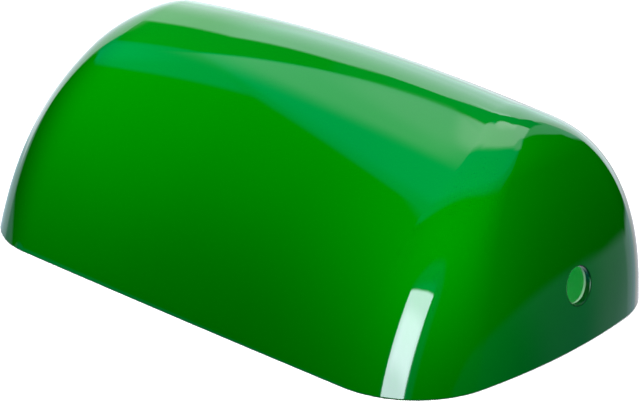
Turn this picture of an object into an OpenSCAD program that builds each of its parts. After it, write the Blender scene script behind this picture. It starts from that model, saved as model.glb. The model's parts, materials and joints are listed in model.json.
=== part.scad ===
// Glass shade of a banker's desk lamp: a deep trough of green glass, lined with opal glass, open below.
// X runs along the shade, -Y is the long sloping front, +Y is the steeper back, and Z is up.
// The origin is in the plane of the ground rim, at the middle of the length and of the width.

/* [Overall] */
// Length of the rim along X
shade_l = 225; // [150:1:400]
// Width of the rim along Y
shade_w = 132; // [80:1:240]
// Height of the ridge above the rim
shade_h = 77; // [50:1:140]

/* [Glass] */
// Thickness of the green outer layer
casing_t = 2; // [1:0.1:4]
// Thickness of the opal inner layer
lining_t = 1; // [0.5:0.1:3]

/* [Front wall] */
// Lean from the vertical at the rim, in degrees
front_lean = 16.5; // [0:0.5:30]
// Lean where the wall's large arc gives way to the ridge, in degrees
front_turn = 68.5; // [45:0.5:80]

/* [Back wall] */
// Lean from the vertical at the rim, in degrees
back_lean = -2; // [-4:0.5:30]
// Lean where the wall's large arc gives way to the ridge, in degrees
back_turn = 64.5; // [45:0.5:80]

/* [End walls] */
// Lean from the vertical at the rim, in degrees
end_lean = 4; // [0:0.5:20]
// Lean where the wall's large arc gives way to the shoulder, in degrees
end_turn = 23; // [15:0.5:60]
// Radius of the shoulder between an end wall and the ridge
shoulder_r = 24; // [10:0.5:40]

/* [Ridge] */
// Radius across the ridge
ridge_r = 20; // [10:0.5:40]
// Fall of the ridge's curve over half the length
ridge_fall = 8.5; // [0:0.5:20]

/* [Rim corners] */
// Corner radius of the outline at the rim
rim_corner_r = 34; // [10:1:60]
// Corner radius of the outline at the ridge
ridge_corner_r = 8; // [4:0.5:30]
// Outward bow of each end at the rim
end_bow = 2.5; // [0:0.1:8]
// Outward bow of the front and of the back at the rim
side_bow = 0.4; // [0:0.1:4]

/* [Screw holes] */
// Diameter of the hole through each end wall
hole_d = 12.5; // [8:0.5:20]
// Distance of the holes' axis behind the middle of the width
hole_y = 10.5; // [-20:0.5:20]
// Height of the holes' axis above the rim
hole_z = 20.5; // [12:0.5:40]

/* [Smoothness] */
// Rings of facets from the rim to the ridge
ring_n = 18; // [8:1:22]
// Facets along half an end of the outline
end_n = 3; // [2:1:6]
// Facets round each corner of the outline
corner_n = 8; // [4:1:10]
// Facets along half the front or half the back of the outline
side_n = 5; // [3:1:10]

/* [Hidden] */
$fn = 64;

casing_colour = [0, 0.48, 0.05];
opal_colour = [0.93, 0.95, 0.92];

half_l = shade_l / 2;
half_w = shade_w / 2;

// A wall is [lean at the rim, lean at the top of its large arc, radius of the arc above that].
front_wall = [front_lean, front_turn, ridge_r];
back_wall = [back_lean, back_turn, ridge_r];
end_wall = [end_lean, end_turn, shoulder_r];

quarter_n = end_n + corner_n + side_n;
column_n = 4 * quarter_n;

// How the corner radius falls from the rim to the ridge, and how much of the half width it may fill.
corner_power = 1.5;
corner_share = 0.97;
// Width over which the corner radius eases from the first rule to the second.
corner_ease = 2.25;
// The ridge's curve fades to nothing at the rim with this power of the height.
fall_power = 3;
// Step for slopes, as a share of a ring or of a facet, and passes that bring an inner edge down to the rim.
slope_step = 0.001;
rim_passes = 4;

// Radius of a wall's large arc, so that it and the arc above it reach the ridge together.
function large_r(wall) =
    (shade_h - wall[2] * (1 - sin(wall[1]))) / (sin(wall[1]) - sin(wall[0]));

function cos_from_sin(s) = sqrt(max(0, 1 - s * s));

// How far a wall has come in from the rim at height z.
function run_in(wall, z) =
    let (
        r = large_r(wall),
        turn_z = r * (sin(wall[1]) - sin(wall[0]))
    )
    z < turn_z
        ? r * (cos(wall[0]) - cos_from_sin(sin(wall[0]) + z / r))
        : r * (cos(wall[0]) - cos(wall[1]))
            + wall[2] * (cos(wall[1]) - cos_from_sin(sin(wall[1]) + (z - turn_z) / wall[2]));

// Smaller of two lengths, with the change from one to the other eased.
function eased_min(a, b) = (a + b - sqrt(pow(a - b, 2) + pow(corner_ease, 2))) / 2;

// A point of one quarter of a level outline. w is 0 to 1 on the end, to 2 on the corner, to 3 on the side.
// core is the half size of the outline without its corner radius and its bows.
function quarter_point(w, core, bow, r) =
    w <= 1 ? let (n = unit([1, 2 * bow[0] * w / core[1]]))
        [core[0] + bow[0] * (1 - w * w) + r * n[0], core[1] * w + r * n[1]]
    : w <= 2 ? let (
            a_end = atan2(2 * bow[0], core[1]),
            a_side = 90 - atan2(2 * bow[1], core[0]),
            a = a_end + (a_side - a_end) * (w - 1)
        )
        [core[0] + r * cos(a), core[1] + r * sin(a)]
    : let (v = 3 - w, n = unit([2 * bow[1] * v / core[0], 1]))
        [core[0] * v + r * n[0], core[1] + bow[1] * (1 - v * v) + r * n[1]];

function unit(v) = v / norm(v);

// Place on a quarter outline of facet corner m, counted from the middle of the end.
function place(m) =
    m < end_n ? m / end_n
    : m < end_n + corner_n ? 1 + (m - end_n) / corner_n
    : 2 + (m - end_n - corner_n) / side_n;

// A point of the outer surface: ring is 0 at the rim and 1 at the ridge, column goes once round.
function outer_point(ring, column) =
    let (
        c = (column + column_n) % column_n,
        quarter = floor(c / quarter_n),
        k = c - quarter * quarter_n,
        m = quarter % 2 == 0 ? k : quarter_n - k,
        side_x = quarter == 1 || quarter == 2 ? -1 : 1,
        side_y = quarter >= 2 ? -1 : 1,
        s = sin(90 * ring),
        z = shade_h * s,
        y_front = -half_w + run_in(front_wall, z),
        y_back = half_w - run_in(back_wall, z),
        a = half_l - run_in(end_wall, z),
        b = (y_back - y_front) / 2,
        bow = [end_bow, side_bow] * b / half_w,
        free_r = rim_corner_r + (ridge_corner_r - rim_corner_r) * pow(max(s, 0), corner_power),
        r = eased_min(free_r, (b - bow[1]) * corner_share),
        p = quarter_point(place(m), [a - r - bow[0], b - r - bow[1]], bow, r)
    )
    [
        side_x * p[0],
        side_y * p[1] + (y_front + y_back) / 2,
        z - ridge_fall * pow(p[0] / half_l, 2) * pow(s, fall_power)
    ];

// The outward normal there. On the ridge itself it follows from the ridge's curve alone.
function outer_normal(ring, column) =
    ring > 1 - slope_step
        ? unit([2 * ridge_fall * outer_point(1, column)[0] / pow(half_l, 2), 0, 1])
        : let (
            round_it = outer_point(ring, column + slope_step) - outer_point(ring, column - slope_step),
            up_it = outer_point(ring + slope_step, column) - outer_point(ring - slope_step, column)
        )
        unit(cross(round_it, up_it));

// A point at a depth below the outer surface.
function deep_point(ring, column, depth) = outer_point(ring, column) - depth * outer_normal(ring, column);

// The ring place where the surface at that depth meets the plane of the rim.
function rim_place(column, depth, ring = 0, passes = rim_passes) =
    passes == 0 ? ring
    : rim_place(
        column, depth, ring - deep_point(ring, column, depth)[2] / (shade_h * PI / 2), passes - 1
    );

// All the points of one surface, ring by ring, the first ring flat on the rim's plane.
function surface_points(depth) =
    let (starts = [for (j = [0:column_n - 1]) depth == 0 ? 0 : rim_place(j, depth)])
    [
        for (i = [0:ring_n], j = [0:column_n - 1])
            let (p = deep_point(starts[j] + (1 - starts[j]) * i / ring_n, j, depth))
            i == 0 ? [p[0], p[1], 0] : p
    ];

// Triangles of one surface: the walls ring by ring, then the narrow strip along the ridge.
function surface_faces() =
    let (top = ring_n * column_n)
    concat(
        [
            for (i = [0:ring_n - 1], j = [0:column_n - 1], half = [0, 1])
                let (
                    a = i * column_n + j,
                    b = i * column_n + (j + 1) % column_n
                )
                half == 0 ? [a, a + column_n, b + column_n] : [a, b + column_n, b]
        ],
        [
            for (j = [0:2 * quarter_n - 1])
                let (back = top + j, front = top + (column_n - j) % column_n)
                if (j > 0) [back, front, back + 1]
        ],
        [
            for (j = [0:2 * quarter_n - 2])
                let (back = top + j, front = top + (column_n - j) % column_n)
                [back + 1, front, top + column_n - j - 1]
        ]
    );

// A layer of glass between two depths, with its edge flat on the rim's plane.
module glass_layer(depth, thickness) {
    count = (ring_n + 1) * column_n;
    faces = surface_faces();
    edge = [
        for (j = [0:column_n - 1], half = [0, 1])
            let (next = (j + 1) % column_n)
            half == 0 ? [j, next, count + next] : [j, count + next, count + j]
    ];
    inner = [for (f = faces) [f[2] + count, f[1] + count, f[0] + count]];
    polyhedron(
        points = concat(surface_points(depth), surface_points(depth + thickness)),
        faces = concat(faces, inner, edge)
    );
}

// The drill that goes through both end walls.
module hole_drill() {
    translate([0, hole_y, hole_z])
        rotate([0, 90, 0])
            cylinder(h = shade_l, d = hole_d, center = true);
}

module green_casing() {
    color(casing_colour)
        difference() {
            glass_layer(0, casing_t);
            hole_drill();
        }
}

module opal_lining() {
    color(opal_colour)
        difference() {
            glass_layer(casing_t, lining_t);
            hole_drill();
        }
}

green_casing();
opal_lining();
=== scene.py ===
"""Looks for the green cased glass shade of a banker's lamp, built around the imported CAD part."""

import json
import math

import bpy
import numpy as np
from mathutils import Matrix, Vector


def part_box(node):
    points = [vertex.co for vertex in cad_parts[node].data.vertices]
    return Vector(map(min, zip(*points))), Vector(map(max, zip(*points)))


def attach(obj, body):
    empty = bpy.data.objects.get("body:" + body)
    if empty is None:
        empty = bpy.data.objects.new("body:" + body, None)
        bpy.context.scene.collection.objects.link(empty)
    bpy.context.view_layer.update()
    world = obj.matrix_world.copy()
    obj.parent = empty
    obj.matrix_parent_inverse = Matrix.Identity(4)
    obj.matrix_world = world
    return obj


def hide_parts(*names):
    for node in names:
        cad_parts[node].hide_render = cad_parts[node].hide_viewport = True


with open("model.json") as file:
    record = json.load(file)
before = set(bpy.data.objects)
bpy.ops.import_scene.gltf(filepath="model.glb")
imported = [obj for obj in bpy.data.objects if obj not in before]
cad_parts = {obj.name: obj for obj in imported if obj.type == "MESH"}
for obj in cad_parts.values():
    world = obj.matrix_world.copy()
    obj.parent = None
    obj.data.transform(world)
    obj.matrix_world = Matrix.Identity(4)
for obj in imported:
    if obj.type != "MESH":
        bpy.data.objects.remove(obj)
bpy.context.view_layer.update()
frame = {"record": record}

MM = 0.001
CASING_LOW, CASING_HIGH = (np.array(corner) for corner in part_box("green_casing"))
_, LINING_HIGH = (np.array(corner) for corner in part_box("opal_lining"))
SIZE = CASING_HIGH - CASING_LOW
HALF_L, HALF_W, HEIGHT = SIZE[0] / 2, SIZE[1] / 2, SIZE[2]
CASING_T = CASING_HIGH[2] - LINING_HIGH[2]
LINING_T = 1 * MM
MOUNT = next(m for m in frame["record"]["mounts"] if m["name"] == "right_hole")
HOLE_Y, HOLE_Z = MOUNT["pos_m"][1], MOUNT["pos_m"][2]
HOLE_R = MOUNT["dims"]["r_mm"] * MM

# The walls: lean at the rim, lean at the top of the large arc (degrees), radius above that.
FRONT_WALL = (16.5, 68.5, 20 * MM)
BACK_WALL = (-2.0, 64.5, 20 * MM)
END_WALL = (4.0, 23.0, 24 * MM)
RIDGE_FALL, FALL_POWER = 8.5 * MM, 3
RIM_CORNER_R, RIDGE_CORNER_R, CORNER_POWER = 34 * MM, 8 * MM, 1.5
CORNER_SHARE, CORNER_EASE = 0.97, 2.25 * MM
END_BOW, SIDE_BOW = 2.5 * MM, 0.4 * MM

# Radii of the small rounded edges, and the rings of faces round them.
CASING_HOLE_EDGE, CASING_RIM_EDGE, LINING_EDGE = 0.45 * MM, 0.5 * MM, 0.3 * MM
HOLE_EDGE_RINGS, RIM_EDGE_RINGS = 4, 5
# How far past a hole's edge the regular grid stops, and the rings of faces that fill the rest.
HOLE_MARGIN = 1.9 * MM
PATCH_RINGS = 6

# The regular grid: rings from rim to ridge, and columns along half an end, a corner and half a side.
RINGS = 96
END_N, CORNER_N, SIDE_N = 15, 26, 24
# Step for slopes, as a share of a ring or of a place, and passes that home in on a point.
SLOPE_STEP = 1e-4
HOMING_PASSES = 8


def run_in(wall, z):
    """How far a wall has come in from the rim at height z."""
    lean, turn, top_r = math.radians(wall[0]), math.radians(wall[1]), wall[2]
    s0, s1 = math.sin(lean), math.sin(turn)
    large_r = (HEIGHT - top_r * (1 - s1)) / (s1 - s0)
    turn_z = large_r * (s1 - s0)

    def cosine(s):
        return np.sqrt(np.maximum(0, 1 - s * s))

    low = large_r * (math.cos(lean) - cosine(s0 + z / large_r))
    high = large_r * (math.cos(lean) - math.cos(turn)) + top_r * (
        math.cos(turn) - cosine(s1 + (z - turn_z) / top_r)
    )
    return np.where(z < turn_z, low, high)


def outer_point(ring, place, side):
    """The outer surface. ring: 0 rim, 1 ridge. place: -3 front middle, 0 end middle, 3 back middle."""
    ring, place, side = np.broadcast_arrays(ring, place, side)
    w = np.abs(place)
    s = np.sin(math.pi / 2 * ring)
    z = HEIGHT * s
    y_front = -HALF_W + run_in(FRONT_WALL, z)
    y_back = HALF_W - run_in(BACK_WALL, z)
    a = HALF_L - run_in(END_WALL, z)
    b = (y_back - y_front) / 2
    bow_x, bow_y = END_BOW * b / HALF_W, SIDE_BOW * b / HALF_W
    free_r = RIM_CORNER_R + (RIDGE_CORNER_R - RIM_CORNER_R) * np.maximum(s, 0) ** CORNER_POWER
    room = (b - bow_y) * CORNER_SHARE
    r = (free_r + room - np.sqrt((free_r - room) ** 2 + CORNER_EASE**2)) / 2
    cx, cy = a - r - bow_x, b - r - bow_y
    slope = 2 * bow_x * w / cy
    n = np.hypot(1, slope)
    x_end, y_end = cx + bow_x * (1 - w * w) + r / n, cy * w + r * slope / n
    a_end = np.arctan2(2 * bow_x, cy)
    a_side = math.pi / 2 - np.arctan2(2 * bow_y, cx)
    angle = a_end + (a_side - a_end) * (w - 1)
    x_corner, y_corner = cx + r * np.cos(angle), cy + r * np.sin(angle)
    v = 3 - w
    slope = 2 * bow_y * v / cx
    n = np.hypot(slope, 1)
    x_side, y_side = cx * v + r * slope / n, cy + bow_y * (1 - v * v) + r / n
    x = np.where(w <= 1, x_end, np.where(w <= 2, x_corner, x_side))
    y = np.where(w <= 1, y_end, np.where(w <= 2, y_corner, y_side))
    z = z - RIDGE_FALL * (x / HALF_L) ** 2 * s**FALL_POWER
    return np.stack([side * x, np.sign(place) * y + (y_front + y_back) / 2, z], -1)


def outer_normal(ring, place, side):
    """The outward normal there. On the ridge itself it follows from the ridge's curve alone."""
    ring, place, side = np.broadcast_arrays(ring, place, side)
    low = np.minimum(ring, 1 - 2 * SLOPE_STEP)
    along = outer_point(low, place + SLOPE_STEP, side) - outer_point(low, place - SLOPE_STEP, side)
    up = outer_point(low + SLOPE_STEP, place, side) - outer_point(low - SLOPE_STEP, place, side)
    n = np.cross(along, up) * side[..., None]
    n /= np.linalg.norm(n, axis=-1, keepdims=True)
    x = outer_point(np.ones_like(ring), place, side)[..., 0]
    top = np.stack([2 * RIDGE_FALL * x / HALF_L**2, np.zeros_like(x), np.ones_like(x)], -1)
    top /= np.linalg.norm(top, axis=-1, keepdims=True)
    return np.where((ring > 1 - SLOPE_STEP)[..., None], top, n)


def deep_point(ring, place, side, depth):
    """A point at a depth below the outer surface."""
    return outer_point(ring, place, side) - depth * outer_normal(ring, place, side)


def columns():
    """Places and sides once round the outline, from the front's middle over +X."""
    quarter = np.concatenate(
        [
            np.linspace(0, 1, END_N + 1)[:-1],
            np.linspace(1, 2, CORNER_N + 1)[:-1],
            np.linspace(2, 3, SIDE_N + 1),
        ]
    )
    half = np.concatenate([-quarter[::-1], quarter[1:]])
    place = np.concatenate([half, half[::-1][1:-1]])
    side = np.concatenate([np.ones(len(half)), -np.ones(len(half) - 2)])
    return place, side


PLACE, SIDE = columns()
COLUMN_N = len(PLACE)
QUARTER_N = COLUMN_N // 4


class Solid:
    """Points, faces with a normal at each corner, and a material number for each face."""

    def __init__(self):
        self.points, self.count, self.faces = [], 0, []

    def add(self, points):
        """Adds points and returns their numbers."""
        points = np.asarray(points).reshape(-1, 3)
        first = self.count
        self.points.append(points)
        self.count += len(points)
        return first + np.arange(len(points))

    def quads(self, corners, normals, flip=False, material=0):
        """corners: four arrays of point numbers. normals: four arrays of unit vectors."""
        if flip:
            corners, normals = corners[::-1], normals[::-1]
        quad = np.stack([np.ravel(c) for c in corners], -1)
        n = np.stack([np.reshape(v, (-1, 3)) for v in normals], 1)
        for face, face_n in zip(quad.tolist(), n.tolist()):
            keep = [k for k in range(len(face)) if face[k] not in face[:k]]
            if len(keep) > 2:
                self.faces.append(([face[k] for k in keep], [face_n[k] for k in keep], material))

    def strip(self, low, high, n_low, n_high, flip=False, material=0):
        """Quads between two closed rows of points, outward to the right-hand side of low to high."""
        corners = [low, np.roll(low, -1, 0), np.roll(high, -1, 0), high]
        normals = [n_low, np.roll(n_low, -1, 0), np.roll(n_high, -1, 0), n_high]
        self.quads(corners, normals, flip, material)

    def build(self, name, materials):
        mesh = bpy.data.meshes.new(name)
        mesh.from_pydata(np.concatenate(self.points).tolist(), [], [f[0] for f in self.faces])
        for material in materials:
            mesh.materials.append(material)
        mesh.polygons.foreach_set("material_index", [f[2] for f in self.faces])
        mesh.shade_smooth()
        mesh.update()
        mesh.normals_split_custom_set([n for f in self.faces for n in f[1]])
        obj = bpy.data.objects.new(name, mesh)
        bpy.context.scene.collection.objects.link(obj)
        return obj


def hole_window():
    """First and last ring and column, on the +X end, of the patch of grid given up to the hole."""
    margin = HOLE_R + HOLE_MARGIN
    rings = np.arange(RINGS + 1) / RINGS
    half = np.arange(2 * QUARTER_N + 1)
    grid = outer_point(rings[:, None], PLACE[half][None, :], 1.0)
    mid = int(np.argmin(abs(grid[:, QUARTER_N, 2] - HOLE_Z)))
    i0 = int(np.nonzero(grid[:, QUARTER_N, 2] < HOLE_Z - margin)[0].max())
    i1 = int(np.nonzero(grid[:, QUARTER_N, 2] > HOLE_Z + margin)[0].min())
    j0 = int(np.nonzero(grid[i1, :, 1] < HOLE_Y - margin)[0].max())
    j1 = int(np.nonzero(grid[mid, :, 1] > HOLE_Y + margin)[0].min())
    return i0, i1, j0, j1


I0, I1, J0, J1 = hole_window()
WINDOWS = [(J0, J1), (COLUMN_N - J1, COLUMN_N - J0)]


def window_loop(j0, j1):
    """Ring and column numbers round a hole's window, anticlockwise seen from outside."""
    loop = [(I0, j) for j in range(j0, j1)]
    loop += [(i, j1) for i in range(I0, I1)]
    loop += [(I1, j) for j in range(j1, j0, -1)]
    loop += [(i, j0) for i in range(I1, I0, -1)]
    return np.array(loop)


def solve_place(target, ring, place, side, depth):
    """Ring and place where the surface at that depth passes over the (y, z) targets."""
    h = SLOPE_STEP
    for _ in range(HOMING_PASSES):
        now = deep_point(ring, place, side, depth)[..., 1:]
        d_ring = (deep_point(ring + h, place, side, depth)[..., 1:] - now) / h
        d_place = (deep_point(ring, place + h, side, depth)[..., 1:] - now) / h
        miss = target - now
        det = d_ring[..., 0] * d_place[..., 1] - d_ring[..., 1] * d_place[..., 0]
        ring = ring + (miss[..., 0] * d_place[..., 1] - miss[..., 1] * d_place[..., 0]) / det
        place = place + (d_ring[..., 0] * miss[..., 1] - d_ring[..., 1] * miss[..., 0]) / det
    return ring, place


def rim_start(depth, start_z):
    """The ring place, column by column, where the surface at that depth is at the height start_z."""
    start = np.zeros(COLUMN_N)
    for _ in range(HOMING_PASSES):
        z = deep_point(start, PLACE, SIDE, depth)[:, 2]
        start = start - (z - start_z) / (HEIGHT * math.pi / 2)
    return start


def grid_faces(solid, index, normals, flip):
    """Faces between the rings, but not in the holes' windows."""
    window = np.zeros((RINGS, COLUMN_N), bool)
    for j0, j1 in WINDOWS:
        window[I0:I1, j0:j1] = True
    low, high = index[:-1], index[1:]
    n_low, n_high = normals[:-1], normals[1:]
    corners = [low, np.roll(low, -1, 1), np.roll(high, -1, 1), high]
    corner_normals = [n_low, np.roll(n_low, -1, 1), np.roll(n_high, -1, 1), n_high]
    solid.quads([c[~window] for c in corners], [n[~window] for n in corner_normals], flip)


def ridge_faces(solid, top, top_n, flip):
    """Faces across the ridge, which close the narrow strip between the front and the back."""
    partner = (2 * QUARTER_N - np.arange(COLUMN_N)) % COLUMN_N
    for first, last in ((0, QUARTER_N), (3 * QUARTER_N, COLUMN_N)):
        j = np.arange(first, last)
        k = (j + 1) % COLUMN_N
        order = [j, k, partner[k], partner[j]]
        solid.quads([top[o] for o in order], [top_n[o] for o in order], flip)


def hole_patch(solid, window, grid, depth, hole_r, facing_in):
    """Rings of faces from a window's edge to its round hole. Returns the last row, its normals and angles.

    grid: its point numbers, points, normals, ring places, column places and sides.
    """
    loop = window_loop(*window)
    i, j = loop[:, 0], loop[:, 1] % COLUMN_N
    last, points, last_n, ring, place, side = (values[i, j] for values in grid)
    sign = -1 if facing_in else 1
    loop_yz = outer_point(ring, place, side)[:, 1:]
    angle = np.arctan2(loop_yz[:, 1] - HOLE_Z, loop_yz[:, 0] - HOLE_Y)
    circle = np.stack([HOLE_Y + hole_r * np.cos(angle), HOLE_Z + hole_r * np.sin(angle)], -1)
    start = points[:, 1:]
    for step in range(1, PATCH_RINGS + 1):
        target = start + (circle - start) * (step / PATCH_RINGS)
        ring, place = solve_place(target, ring, place, side, depth)
        row = solid.add(deep_point(ring, place, side, depth))
        row_n = outer_normal(ring, place, side) * sign
        solid.strip(last, row, last_n, row_n, facing_in)
        last, last_n = row, row_n
    return last, last_n, angle


def surface(solid, depth, start_z, hole_r, facing_in=False):
    """One whole surface of a layer. Returns the rim row, its normals, and each hole's last ring."""
    start = rim_start(depth, start_z)
    ring = start + (1 - start) * np.arange(RINGS + 1)[:, None] / RINGS
    place, side = (np.broadcast_to(values, ring.shape) for values in (PLACE, SIDE))
    points = deep_point(ring, place, side, depth)
    points[0, :, 2] = start_z
    normals = outer_normal(ring, place, side) * (-1 if facing_in else 1)
    index = solid.add(points).reshape(ring.shape)
    grid_faces(solid, index, normals, facing_in)
    ridge_faces(solid, index[-1], normals[-1], facing_in)
    grid = (index, points, normals, ring, place, side)
    holes = [hole_patch(solid, window, grid, depth, hole_r, facing_in) for window in WINDOWS]
    return index[0], normals[0], holes


def points_of(solid, row):
    return np.concatenate(solid.points)[row]


def rounded_bore(solid, outer_hole, inner_hole, outer_edge, inner_edge, material):
    """The bore between two surfaces, with a rounded edge where it leaves each of them."""
    (row, row_n, angle), (end_row, end_n, _) = outer_hole, inner_hole
    start, end = points_of(solid, row), points_of(solid, end_row)
    sx = np.sign(start[:, :1])
    axis = np.concatenate([sx, np.zeros_like(sx), np.zeros_like(sx)], -1)
    radial = np.stack([np.zeros_like(angle), np.cos(angle), np.sin(angle)], -1)
    rows, ns = [row], [row_n]
    turns = np.linspace(0, math.pi / 2, HOLE_EDGE_RINGS + 1)[1:]
    if outer_edge > 0:
        centre = start - outer_edge * axis
        for turn in turns:
            away = math.cos(turn) * axis - math.sin(turn) * radial
            rows.append(solid.add(centre + outer_edge * away))
            ns.append(math.cos(turn) * row_n - math.sin(turn) * radial)
    else:
        rows.append(row)
        ns.append(-radial)
    if inner_edge > 0:
        centre = end + inner_edge * axis
        for turn in turns[::-1]:
            away = math.cos(turn) * axis + math.sin(turn) * radial
            rows.append(solid.add(centre - inner_edge * away))
            ns.append(math.cos(turn) * end_n - math.sin(turn) * radial)
    rows.append(end_row)
    ns.append(end_n if inner_edge > 0 else -radial)
    ns = [n / np.linalg.norm(n, axis=-1, keepdims=True) for n in ns]
    for k in range(len(rows) - 1):
        if not np.array_equal(rows[k], rows[k + 1]):
            solid.strip(rows[k], rows[k + 1], ns[k], ns[k + 1], material=material)


DOWN = np.tile([0.0, 0.0, -1.0], (COLUMN_N, 1))


def rounded_rim(solid, row, n, radius):
    """Rows of points and normals that turn a surface's rim row down to the plane of the rim."""
    centre = points_of(solid, row) - radius * n
    rows, ns = [row], [n]
    for t in np.linspace(0, 1, RIM_EDGE_RINGS + 1)[1:]:
        mix = n * math.cos(t * math.pi / 2) + DOWN * math.sin(t * math.pi / 2)
        mix /= np.linalg.norm(mix, axis=-1, keepdims=True)
        points = centre + radius * mix
        if t == 1:
            mix = DOWN
            points = np.concatenate([centre[:, :2], np.zeros((COLUMN_N, 1))], -1)
        rows.append(solid.add(points))
        ns.append(mix)
    return rows, ns


def layer(name, depth, thickness, materials, outer_edge=0, inner_edge=0, rim_outer=0, rim_inner=0):
    """A layer of glass between two depths, closed at the rim and bored at both ends.

    outer_edge and inner_edge round the bore, rim_outer and rim_inner round the rim. Materials: face, cut.
    """
    solid = Solid()
    outer_n = outer_normal(np.zeros(COLUMN_N), PLACE, SIDE)
    outer_start = rim_outer * (1 + outer_n[:, 2]) if rim_outer else 0
    inner_start = rim_inner * (1 - outer_n[:, 2]) if rim_inner else 0
    rim_out, rim_out_n, outer_holes = surface(solid, depth, outer_start, HOLE_R + outer_edge)
    rim_in, rim_in_n, inner_holes = surface(
        solid, depth + thickness, inner_start, HOLE_R + inner_edge, facing_in=True
    )
    if rim_outer:
        rows, ns = rounded_rim(solid, rim_out, rim_out_n, rim_outer)
        for k in range(len(rows) - 1):
            solid.strip(rows[k + 1], rows[k], ns[k + 1], ns[k])
        rim_out = rows[-1]
    if rim_inner:
        rows, ns = rounded_rim(solid, rim_in, rim_in_n, rim_inner)
        for k in range(len(rows) - 1):
            solid.strip(rows[k], rows[k + 1], ns[k], ns[k + 1], material=1)
        rim_in = rows[-1]
    solid.strip(rim_in, rim_out, DOWN, DOWN, material=1)
    for outer_hole, inner_hole in zip(outer_holes, inner_holes):
        rounded_bore(solid, outer_hole, inner_hole, outer_edge, inner_edge, material=1)
    return solid.build(name, materials)


# ---------------------------------------------------------------- materials


def principled(name, **inputs):
    """A material with one Principled shader, and its node tree and shader."""
    material = bpy.data.materials.new(name)
    material.use_nodes = True
    tree = material.node_tree
    shader = tree.nodes["Principled BSDF"]
    for key, value in inputs.items():
        shader.inputs[key.replace("_", " ")].default_value = value
    return material, tree, shader


def noise(tree, scale, detail=2.0):
    """Soft noise over the object's own coordinates."""
    place = tree.nodes.new("ShaderNodeTexCoord")
    node = tree.nodes.new("ShaderNodeTexNoise")
    node.inputs["Scale"].default_value = scale
    node.inputs["Detail"].default_value = detail
    tree.links.new(place.outputs["Object"], node.inputs["Vector"])
    return node.outputs["Fac"]


# The part of the noise's range that a tone or a roughness is spread over.
NOISE_LOW, NOISE_HIGH = 0.3, 0.7


def ramp(tree, value, low, high, start=NOISE_LOW, end=NOISE_HIGH):
    """A colour from low to high as the value goes from start to end."""
    node = tree.nodes.new("ShaderNodeValToRGB")
    node.color_ramp.elements[0].position = start
    node.color_ramp.elements[1].position = end
    node.color_ramp.elements[0].color = low
    node.color_ramp.elements[1].color = high
    tree.links.new(value, node.inputs["Fac"])
    return node.outputs["Color"]


def map_range(tree, value, start, end, low, high, shape="LINEAR"):
    """A number from low to high as the value goes from start to end."""
    node = tree.nodes.new("ShaderNodeMapRange")
    node.interpolation_type = shape
    for key, number in (("From Min", start), ("From Max", end), ("To Min", low), ("To Max", high)):
        node.inputs[key].default_value = number
    tree.links.new(value, node.inputs["Value"])
    return node.outputs["Result"]


def soft_step(tree, value, start, end, height=1):
    """0 at the start and the height at the end, with a smooth slope between them."""
    return map_range(tree, value, start, end, 0, height, "SMOOTHSTEP")


def math_node(tree, operation, *values):
    """A Math node. A value is a number or another node's output."""
    node = tree.nodes.new("ShaderNodeMath")
    node.operation = operation
    for k, value in enumerate(values):
        if isinstance(value, (int, float)):
            node.inputs[k].default_value = value
        else:
            tree.links.new(value, node.inputs[k])
    return node.outputs["Value"]


def vector_node(tree, operation, *values, output="Vector"):
    """A Vector Math node. A value is three numbers or another node's output."""
    node = tree.nodes.new("ShaderNodeVectorMath")
    node.operation = operation
    for k, value in enumerate(values):
        if isinstance(value, tuple):
            node.inputs[k].default_value = value
        else:
            tree.links.new(value, node.inputs[k])
    return node.outputs[output]


def split_xyz(tree, vector):
    parts = tree.nodes.new("ShaderNodeSeparateXYZ")
    tree.links.new(vector, parts.inputs["Vector"])
    return [parts.outputs[axis] for axis in "XYZ"]


def colour_by(tree, shader, tone, roughness):
    tree.links.new(tone, shader.inputs["Base Color"])
    tree.links.new(roughness, shader.inputs["Roughness"])


def bump(tree, shader, value, distance, strength):
    node = tree.nodes.new("ShaderNodeBump")
    node.inputs["Distance"].default_value = distance
    node.inputs["Strength"].default_value = strength
    tree.links.new(value, node.inputs["Height"])
    tree.links.new(node.outputs["Normal"], shader.inputs["Normal"])


# The casing's painted light and shade, a factor on its green. The steps add to it from one place to another
# along an axis: axis, start, end, amount.
PAINTED_SHADING_BASE = 0.85
PAINTED_SHADING_STEPS = [
    (0, -100 * MM, 0, -0.29),
    (0, -94 * MM, -72 * MM, 0.6),
    (0, -110 * MM, -97 * MM, -0.35),
    (2, 10 * MM, 70 * MM, 0.26),
]
# Painted shade on the right-hand end: it darkens over these X and, by the amount, over these Y.
SHADED_END_X, SHADED_END_Y, END_PAINTED_SHADE = (92 * MM, 108 * MM), (-40 * MM, -5 * MM), -0.18
# The painted shade low in front: its middle, its reach and how much lighter the green is beyond it.
SHADE_DIP_MIDDLE, SHADE_DIP_REACH, DIP_PAINTED_SHADE = (30 * MM, -55 * MM, 24 * MM), 70 * MM, 0.17


def casing_painted_shading(tree):
    """Painted light and shade on the green: lighter up the walls, where more light falls from above, and
    darker low in front, on the right-hand end and in a band near the left-hand end, where less light falls.
    One view can't tell thicker glass from less light there.
    """
    place = tree.nodes.new("ShaderNodeTexCoord").outputs["Object"]
    axes = split_xyz(tree, place)
    painted_dip_distance = vector_node(tree, "DISTANCE", place, SHADE_DIP_MIDDLE, output="Value")
    tone = math_node(
        tree, "MULTIPLY", soft_step(tree, axes[0], *SHADED_END_X), soft_step(tree, axes[1], *SHADED_END_Y, END_PAINTED_SHADE)
    )
    for axis, start, end, amount in PAINTED_SHADING_STEPS:
        tone = math_node(tree, "ADD", tone, soft_step(tree, axes[axis], start, end, amount))
    tone = math_node(tree, "ADD", tone, soft_step(tree, painted_dip_distance, 0, SHADE_DIP_REACH, DIP_PAINTED_SHADE))
    return math_node(tree, "ADD", tone, PAINTED_SHADING_BASE)


GLASS_IOR = 1.5


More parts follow.
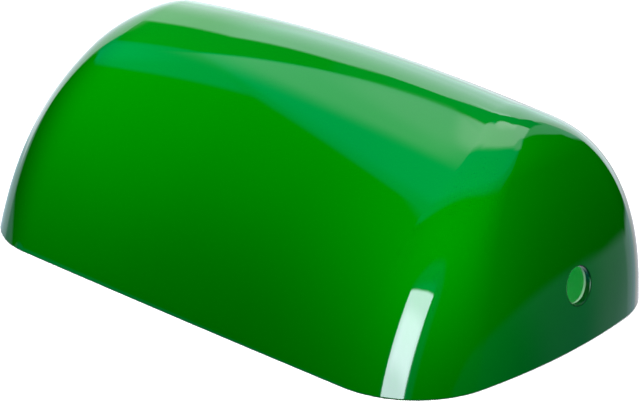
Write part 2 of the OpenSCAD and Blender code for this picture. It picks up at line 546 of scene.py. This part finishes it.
def polished_green_painted_shade():
    material, tree, shader = principled("green_glass_polished_painted_shade", IOR=GLASS_IOR)
    tone = ramp(tree, noise(tree, scale=14, detail=3), (0, 0.235, 0, 1), (0, 0.25, 0, 1))
    scaled = tree.nodes.new("ShaderNodeVectorMath")
    scaled.operation = "SCALE"
    tree.links.new(tone, scaled.inputs[0])
    # The green is scaled by the casing's painted light and shade.
    tree.links.new(casing_painted_shading(tree), scaled.inputs["Scale"])
    roughness = map_range(tree, noise(tree, scale=60), NOISE_LOW, NOISE_HIGH, 0.015, 0.035)
    colour_by(tree, shader, scaled.outputs["Vector"], roughness)
    bump(tree, shader, noise(tree, scale=26, detail=1), distance=0.1 * MM, strength=0.25)
    return material


def cut_green():
    material, tree, shader = principled("green_glass_cut", IOR=GLASS_IOR)
    tone = ramp(tree, noise(tree, scale=400, detail=3), (0, 0.05, 0.004, 1), (0, 0.085, 0.006, 1))
    roughness = map_range(tree, noise(tree, scale=300), NOISE_LOW, NOISE_HIGH, 0.2, 0.4)
    colour_by(tree, shader, tone, roughness)
    bump(tree, shader, noise(tree, scale=900, detail=2), distance=0.05 * MM, strength=0.5)
    return material


def opal(name, low, high, rough_low, rough_high):
    material, tree, shader = principled(name, IOR=GLASS_IOR)
    tone = ramp(tree, noise(tree, scale=30, detail=3), low, high)
    roughness = map_range(tree, noise(tree, scale=80), NOISE_LOW, NOISE_HIGH, rough_low, rough_high)
    colour_by(tree, shader, tone, roughness)
    bump(tree, shader, noise(tree, scale=40, detail=1), distance=0.1 * MM, strength=0.3)
    return material


opal_face = opal("opal_glass_face", (0.80, 0.84, 0.80, 1), (0.88, 0.90, 0.87, 1), 0.06, 0.12)
# The white opal's cut edge is painted green: painted light, for the green light that comes through the
# casing.
opal_cut_painted_green_light = opal("opal_glass_cut_painted_green_light", (0.50, 0.86, 0.56, 1), (0.58, 0.92, 0.64, 1), 0.25, 0.4)

casing = layer(
    "shade_casing", 0, CASING_T, [polished_green_painted_shade(), cut_green()],
    outer_edge=CASING_HOLE_EDGE, rim_outer=CASING_RIM_EDGE,
)
lining = layer(
    "shade_lining", CASING_T, LINING_T, [opal_face, opal_cut_painted_green_light],
    inner_edge=LINING_EDGE, rim_inner=LINING_EDGE,
)
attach(casing, "root")
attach(lining, "root")
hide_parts("green_casing")
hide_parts("opal_lining")

# ---------------------------------------------------------------- floor


FLOOR_HALF = 6


def flat_square(name, half):
    mesh = bpy.data.meshes.new(name)
    corners = [(-half, -half, 0), (half, -half, 0), (half, half, 0), (-half, half, 0)]
    mesh.from_pydata(corners, [], [(0, 1, 2, 3)])
    obj = bpy.data.objects.new(name, mesh)
    bpy.context.scene.collection.objects.link(obj)
    return obj


def floor_white():
    """Pale to the camera and dark to bounced light, so that the floor doesn't light the shade from below."""
    material, tree, shader = principled("floor_white", Roughness=0.9, Specular_IOR_Level=0.0)
    path = tree.nodes.new("ShaderNodeLightPath")
    pale, dark = (0.88, 0.88, 0.88, 1), (0.05, 0.05, 0.05, 1)
    tone = ramp(tree, path.outputs["Is Diffuse Ray"], pale, dark, 0, 1)
    tree.links.new(tone, shader.inputs["Base Color"])
    return material


floor = flat_square("floor", FLOOR_HALF)
floor.data.materials.append(floor_white())
floor.visible_glossy = False

# ---------------------------------------------------------------- studio


def toward(azimuth, elevation):
    """The direction from the shade to that azimuth, 0 in front and 90 at +X, and elevation."""
    a, e = math.radians(azimuth), math.radians(elevation)
    return Vector((math.sin(a) * math.cos(e), -math.cos(a) * math.cos(e), math.sin(e)))


# The studio as shiny surfaces see it, painted layer over layer on the sky. A place on the sky is (u, v): its
# angle from the zenith in degrees, laid out towards +X and +Y. A group is its green as a share of its blue,
# and its layers. A layer is its red, its blue, and a convex outline of (u, v, softness in degrees of the edge
# that starts there).
SKY_GROUPS = [
    # the table, low all round: right, further and further behind, left and in front
    (0.8, [
        (0.00, 0.13, [(-200, -200, 4), (-200, 200, 4), (200, 200, 4), (200, -200, 4)]),
        (0.06, 0.32, [(50, 52, 6), (200, 52, 6), (200, 200, 6), (50, 200, 6)]),
        (0.00, 0.17, [(80, 40, 12), (200, 40, 6), (200, 200, 6), (80, 200, 12)]),
        (0.27, 0.55, [(57, 50, 16), (57, 200, 3), (-200, 200, 4), (-200, 50, 4)]),
        (0.62, 1.00, [(41, 50, 18), (41, 200, 3), (-200, 200, 4), (-200, 50, 4)]),
        (0.27, 0.55, [(-60, 60, 4), (-200, 60, 4), (-200, -200, 4), (-60, -200, 4)]),
        (0.00, 0.40, [(-200, -50, 4), (-5, -50, 6), (-5, -200, 4), (-200, -200, 4)]),
    ]),
    (0.87, [
        # the dark room above it
        (0.00, 0.00, [
            (-30, 100, 3), (5, 102, 3), (32, 97, 3), (54, 84.5, 3), (66, 73, 3), (89, 46, 4),
            (94, 25, 4), (97, -10, 3), (92, -45, 3), (60, -78, 3), (8, -90, 3), (-30, -88, 1.5),
            (-55.5, -71.8, 1), (-62.6, -65.2, 1), (-88, -40, 3), (-95, -8, 3), (-95, 20, 3),
            (-80, 60, 3),
        ]),
        # the pale wall behind the table
        (0.40, 0.50, [(-84, 16, 4), (-60, 16, 4), (-60, 10, 4), (-84, 13, 4)]),
        (0.00, 0.65, [(-62, 16, 3), (-45, 16, 2), (-42, -5, 2), (-49, -4, 2), (-62, 10, 3)]),
        (0.93, 1.03, [(-8, 14, 3), (-140, 14, 4), (-140, 140, 4), (-8, 140, 4)]),
        (0.75, 1.15, [(-83, 16, 10), (-97, -8, 14), (-140, -8, 6), (-140, 60, 6), (-83, 60, 6)]),
        (1.78, 2.20, [
            (-96, 13, 4), (-92, 50, 14), (-60, 78, 16), (-42, 92, 14), (-20, 102, 12), (-8, 104, 4),
            (-8, 13, 3),
        ]),
        (2.30, 3.10, [
            (-46, 13, 5), (-52, 50, 12), (-45, 66, 12), (-32, 80, 10), (-8, 57, 4), (-8, 13, 3),
        ]),
        (3.40, 4.50, [(-32.5, 32, 3), (-31, 30, 2), (-18, 33, 1), (-14, 38, 2), (-18, 40, 5)]),
        (0.60, 1.20, [(-8, 82, 4), (-8, 56, 2), (2, 44, 2), (10, 37, 3), (12, 60, 3), (10, 68, 6)]),
    ]),
    # the gap between the wall and the overhead soft box
    (0.9, [
        (0.00, 0.08, [(-52.4, 19.4, 1), (-46.5, 15.5, 1), (-45, 8, 1), (-46.5, 7, 1), (-51.2, 8.5, 1)]),
        (0.00, 0.08, [(-48, 15.4, 1), (-37, 15.4, 1), (-36, 13, 1), (-39, 10.5, 1), (-46.5, 6.5, 1)]),
        (0.00, 0.20, [(-39.5, 15.2, 1), (-35.2, 17.1, 1), (-34, 13, 1), (-39, 10.5, 1)]),
        (0.00, 0.28, [(-36.4, 16.5, 1), (-32.4, 21, 1), (-28, 21, 1), (-28, 16, 1), (-35.5, 13, 1)]),
        (0.00, 0.36, [
            (-32.8, 20, 1), (-30.8, 30.6, 1), (-18, 33.4, 1), (-18, 22, 1), (-20, 20.6, 1), (-30, 16.6, 1),
        ]),
        (0.00, 0.42, [(-22, 32, 1), (-10, 43.5, 1), (-2, 39, 1), (-20, 20, 1)]),
        (0.00, 0.36, [(-10.5, 41, 1), (-9, 54, 1), (-4, 56.5, 2), (3.5, 45, 2), (-3, 37, 1)]),
    ]),
    # the overhead soft box
    (1.02, [
        (0.00, 0.60, [
            (-46.5, 6.8, 1), (10, 38, 1.5), (20, 36.5, 3), (38, 27, 8), (44, 16, 8), (33, 2, 6),
            (22, -6, 5), (8, -12, 4), (-28, -24, 4), (-32, -23, 1), (-42, -5, 1),
        ]),
        (0.00, 0.60, [(-35, -14, 1), (-35, -23.5, 4), (-28, -24, 1), (-28, -14, 1)]),
        (0.00, 0.88, [(-57.5, 7, 1), (-49, 7, 4), (-47, 2, 4), (-50, -2, 3), (-56, 2, 1)]),
        (0.00, 1.10, [
            (-46.5, 6.8, 1), (10, 38, 1.5), (18, 36, 4), (30, 16, 14), (26, 2, 10), (8, -9, 6),
            (-28, -17, 8), (-35, -15, 4), (-41, -5, 1),
        ]),
        (0.95, 1.95, [
            (-46, 6.6, 1), (-31, 15.7, 1), (-29, 12, 3), (-31, 0, 5), (-35, -2, 6), (-42, 1, 6),
        ]),
    ]),
    # its brighter side
    (0.95, [
        (1.40, 2.40, [(-38, 10.6, 3), (-31, 15.7, 1), (-29, 12, 3), (-31, 4, 6), (-36, 5, 6)]),
        (2.75, 3.60, [
            (-31, 16.1, 1), (-20, 20.8, 1), (-4, 20, 5), (-12, 13, 5), (-31, 6.5, 5), (-31, 10, 1),
        ]),
        (2.75, 3.60, [
            (-20, 20.4, 1), (-5, 37, 1.2), (3, 44.5, 2), (10, 37.5, 2), (9, 28, 5), (-2, 17.5, 6),
            (-12, 12, 6), (-20, 10, 3),
        ]),
        (3.90, 4.70, [(-18.8, 21.6, 1), (-5, 36.6, 1), (-4, 34, 4), (-14, 22.5, 4)]),
        (1.20, 2.20, [(8, 37.6, 1.5), (19, 36.5, 3), (15, 30, 5), (8, 27, 3)]),
    ]),
    # the tall light in front, with its halo
    (0.87, [
        (0.00, 0.35, [
            (3, -52, 6), (12, -41, 6), (30, -34, 6), (44, -39, 8), (57, -66, 8), (60, -100, 4),
            (13, -100, 6),
        ]),
        (0.00, 0.90, [(6, -52, 4), (34, -42, 4), (51, -75, 4), (54, -100, 4), (17, -100, 4)]),
        (12.70, 16.50, [(4, -53.2, 1.5), (21, -50.2, 1.5), (30, -91, 1.5), (15, -95, 1.5)]),
        (12.70, 16.50, [(19, -50.6, 1.5), (36.3, -45.5, 1.5), (52, -90, 1.5), (28, -91, 1.5)]),
        (16.50, 21.00, [(9, -60, 8), (38, -56, 8), (45, -74, 8), (14, -78, 8)]),
    ]),
]


# Keeps the zenith from a division by nothing.
TINY = 1e-6


def sky_place(tree):
    """(u, v, 1) of the direction that the world is seen in."""
    direction = tree.nodes.new("ShaderNodeTexCoord").outputs["Generated"]
    x, y, z = split_xyz(tree, direction)
    squares = [math_node(tree, "MULTIPLY", part, part) for part in (x, y)]
    flat = math_node(tree, "SQRT", math_node(tree, "ADD", *squares))
    angle = math_node(tree, "MULTIPLY", math_node(tree, "ARCTAN2", flat, z), 180 / math.pi)
    scale = math_node(tree, "DIVIDE", angle, math_node(tree, "MAXIMUM", flat, TINY))
    place = tree.nodes.new("ShaderNodeCombineXYZ")
    tree.links.new(math_node(tree, "MULTIPLY", x, scale), place.inputs["X"])
    tree.links.new(math_node(tree, "MULTIPLY", y, scale), place.inputs["Y"])
    place.inputs["Z"].default_value = 1
    return place.outputs["Vector"]


def layer_mask(tree, place, outline):
    """1 inside a convex outline on the sky and 0 outside, with soft edges."""
    corners = [Vector(c[:2]) for c in outline]
    middle = sum(corners, Vector((0, 0))) / len(corners)
    mask = None
    for k, (_, _, softness) in enumerate(outline):
        a, b = corners[k], corners[(k + 1) % len(corners)]
        n = Vector((a.y - b.y, b.x - a.x)).normalized()
        if n.dot(middle - a) < 0:
            n.negate()
        inside = vector_node(tree, "DOT_PRODUCT", place, (n.x, n.y, -n.dot(a)), output="Value")
        step = soft_step(tree, inside, -softness / 2, softness / 2)
        mask = step if mask is None else math_node(tree, "MULTIPLY", mask, step)
    return mask


def background(tree, strength):
    node = tree.nodes.new("ShaderNodeBackground")
    node.inputs["Color"].default_value = (1, 1, 1, 1)
    node.inputs["Strength"].default_value = strength
    return node


# How bright the even sky is to diffuse rays and to the camera.
SOFT_SKY, CAMERA_SKY = 0.1, 1.05


def build_world():
    world = bpy.data.worlds.new("studio")
    bpy.context.scene.world = world
    world.use_nodes = True
    world.cycles.sampling_method = "NONE"
    tree = world.node_tree
    tree.nodes.clear()
    place = sky_place(tree)
    glow = (0.0, 0.0, 0.0)
    for green_share, layers in SKY_GROUPS:
        for red, blue, outline in layers:
            more = vector_node(tree, "SUBTRACT", (red, green_share * blue, blue), glow)
            glow = vector_node(tree, "MULTIPLY_ADD", layer_mask(tree, place, outline), more, glow)
    shiny = background(tree, 1.0)
    tree.links.new(glow, shiny.inputs["Color"])
    soft, pale = background(tree, SOFT_SKY), background(tree, CAMERA_SKY)
    path = tree.nodes.new("ShaderNodeLightPath")
    out = tree.nodes.new("ShaderNodeOutputWorld")
    shader = soft.outputs["Background"]
    for ray, other in (("Is Glossy Ray", shiny), ("Is Camera Ray", pale)):
        mix = tree.nodes.new("ShaderNodeMixShader")
        tree.links.new(path.outputs[ray], mix.inputs["Fac"])
        tree.links.new(shader, mix.inputs[1])
        tree.links.new(other.outputs["Background"], mix.inputs[2])
        shader = mix.outputs["Shader"]
    tree.links.new(shader, out.inputs["Surface"])


def area_light(name, azimuth, elevation, distance, size, power, aim):
    """A round soft light, unseen itself, at a distance from the point that it is aimed at."""
    light = bpy.data.lights.new(name, "AREA")
    light.shape = "DISK"
    light.size = size
    light.energy = power
    obj = bpy.data.objects.new(name, light)
    bpy.context.scene.collection.objects.link(obj)
    obj.location = Vector(aim) + distance * toward(azimuth, elevation)
    obj.rotation_euler = toward(azimuth, elevation).to_track_quat("Z", "Y").to_euler()
    obj.visible_glossy = False
    obj.visible_camera = False
    return obj


# Soft lights that shape the green: azimuth, elevation, distance, size, power and aim.
LIGHTS = {
    "overhead_light": (0, 88, 2.0, 1.6, 19.0, (0, 0, 0.03)),
    "left_light": (10, 50, 0.25, 0.1, 0.325, (-0.07, -0.03, 0.05)),
    "corner_light": (45, 30, 0.08, 0.04, 0.045, (0.095, -0.045, 0.04)),
    "right_light": (110, 30, 1.5, 0.8, 4.2, (0, 0, 0.03)),
}
FLOOR_LIGHT = (0, 90, 2.5, 6.0, 200.0, (0, 0, 0))
# The light under the shade: power, colour, size and place.
INNER_POWER, INNER_COLOUR, INNER_SIZE, INNER_PLACE = 0.049, (0, 1, 0.05), 0.02, (0, 0, 0.045)


def light_the_floor():
    """A light that falls on the floor alone and keeps it white."""
    floor_only = bpy.data.collections.new("floor_only")
    floor_only.objects.link(floor)
    area_light("floor_light", *FLOOR_LIGHT).light_linking.receiver_collection = floor_only


def light_from_inside():
    """A weak green light under the shade, which stands in for the glow of the glass in the hole."""
    light = bpy.data.lights.new("light_through_the_glass", "POINT")
    light.energy = INNER_POWER
    light.color = INNER_COLOUR
    light.shadow_soft_size = INNER_SIZE
    obj = bpy.data.objects.new("light_through_the_glass", light)
    obj.location = INNER_PLACE
    obj.visible_camera = False
    obj.visible_glossy = False
    bpy.context.scene.collection.objects.link(obj)


build_world()
for light_name, light_numbers in LIGHTS.items():
    area_light(light_name, *light_numbers)
light_the_floor()
light_from_inside()

# ---------------------------------------------------------------- camera

AZIMUTH, ELEVATION, DISTANCE = 43.5046, 22.8575, 0.920897
CAMERA_AIM = (0.011304, -0.007163, 0.027)
LENS, SENSOR_W = 152.744, 36
camera_data = bpy.data.cameras.new("camera")
camera_data.sensor_width = SENSOR_W
camera_data.lens = LENS
camera = bpy.data.objects.new("camera", camera_data)
bpy.context.scene.collection.objects.link(camera)
back = toward(AZIMUTH, ELEVATION)
camera.location = Vector(CAMERA_AIM) + DISTANCE * back
camera.rotation_euler = back.to_track_quat("Z", "Y").to_euler()
bpy.context.scene.camera = camera
bpy.context.scene.view_settings.view_transform = "Standard"
